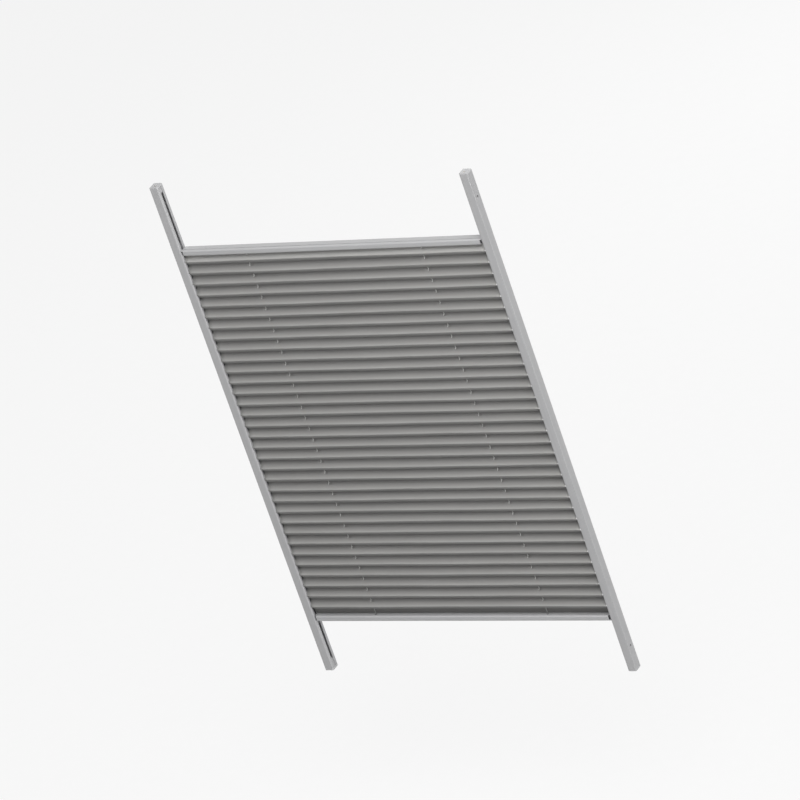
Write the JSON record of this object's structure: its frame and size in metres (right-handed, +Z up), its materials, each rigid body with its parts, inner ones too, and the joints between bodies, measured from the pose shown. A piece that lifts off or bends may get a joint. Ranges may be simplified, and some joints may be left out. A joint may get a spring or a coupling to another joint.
{
  "type": "pleated blind",
  "caption": "Pleated fabric blind held between two sliding aluminium bars that run in slim side rails, with tight cords through the pleats.",
  "frame": {"origin": "midway between the rails and at mid depth of the rails, on the plane of their lower ends", "axes": "+X to the right seen from the room, +Y from the room towards the glass, +Z up the rails"},
  "size_m": [0.66, 0.018, 1.025],
  "materials": {
    "pleat_fabric": "matt woven polyester",
    "rail_aluminium": "satin anodised",
    "bar_aluminium": "satin anodised",
    "cap_plastic": "moulded grey",
    "glide_plastic": "moulded dark grey",
    "rod_plastic": "extruded grey",
    "ferrule_metal": "plain crimped",
    "spring_steel": "plain wire",
    "cord": "braided polyester"
  },
  "bodies": {
    "side_rails": {"left_side_rail": "rail_aluminium", "left_top_cap": "cap_plastic", "left_bottom_cap": "cap_plastic", "left_upper_ferrule": "ferrule_metal", "left_lower_bead": "ferrule_metal", "left_tension_spring": "spring_steel", "left_upper_cord": "cord", "left_fabric_cord": "cord", "left_lower_cord": "cord", "right_side_rail": "rail_aluminium", "right_top_cap": "cap_plastic", "right_bottom_cap": "cap_plastic", "right_upper_ferrule": "ferrule_metal", "right_lower_bead": "ferrule_metal", "right_tension_spring": "spring_steel", "right_upper_cord": "cord", "right_fabric_cord": "cord", "right_lower_cord": "cord", "pleated_fabric": "pleat_fabric"},
    "top_bar": {"top_left_glide": "glide_plastic", "top_left_cord_eye": "glide_plastic", "top_left_bar_cord": "cord", "top_right_glide": "glide_plastic", "top_right_cord_eye": "glide_plastic", "top_right_bar_cord": "cord", "top_bar": "bar_aluminium", "top_fabric_rod": "rod_plastic"},
    "bottom_bar": {"bottom_left_glide": "glide_plastic", "bottom_left_cord_eye": "glide_plastic", "bottom_left_bar_cord": "cord", "bottom_right_glide": "glide_plastic", "bottom_right_cord_eye": "glide_plastic", "bottom_right_bar_cord": "cord", "bottom_bar": "bar_aluminium", "bottom_fabric_rod": "rod_plastic"}
  },
  "joints": [
    {"name": "top_bar_slide", "type": "slide", "parent": "side_rails", "child": "top_bar", "axis": [0, 0, 1], "range_m": [-0.34, 0.104], "deforming": ["pleated_fabric", "left_fabric_cord", "right_fabric_cord", "left_upper_cord", "right_upper_cord"]},
    {"name": "bottom_bar_slide", "type": "slide", "parent": "side_rails", "child": "bottom_bar", "axis": [0, 0, 1], "range_m": [-0.074, 0.34], "deforming": ["pleated_fabric", "left_fabric_cord", "right_fabric_cord", "left_lower_cord", "right_lower_cord"]}
  ]
}
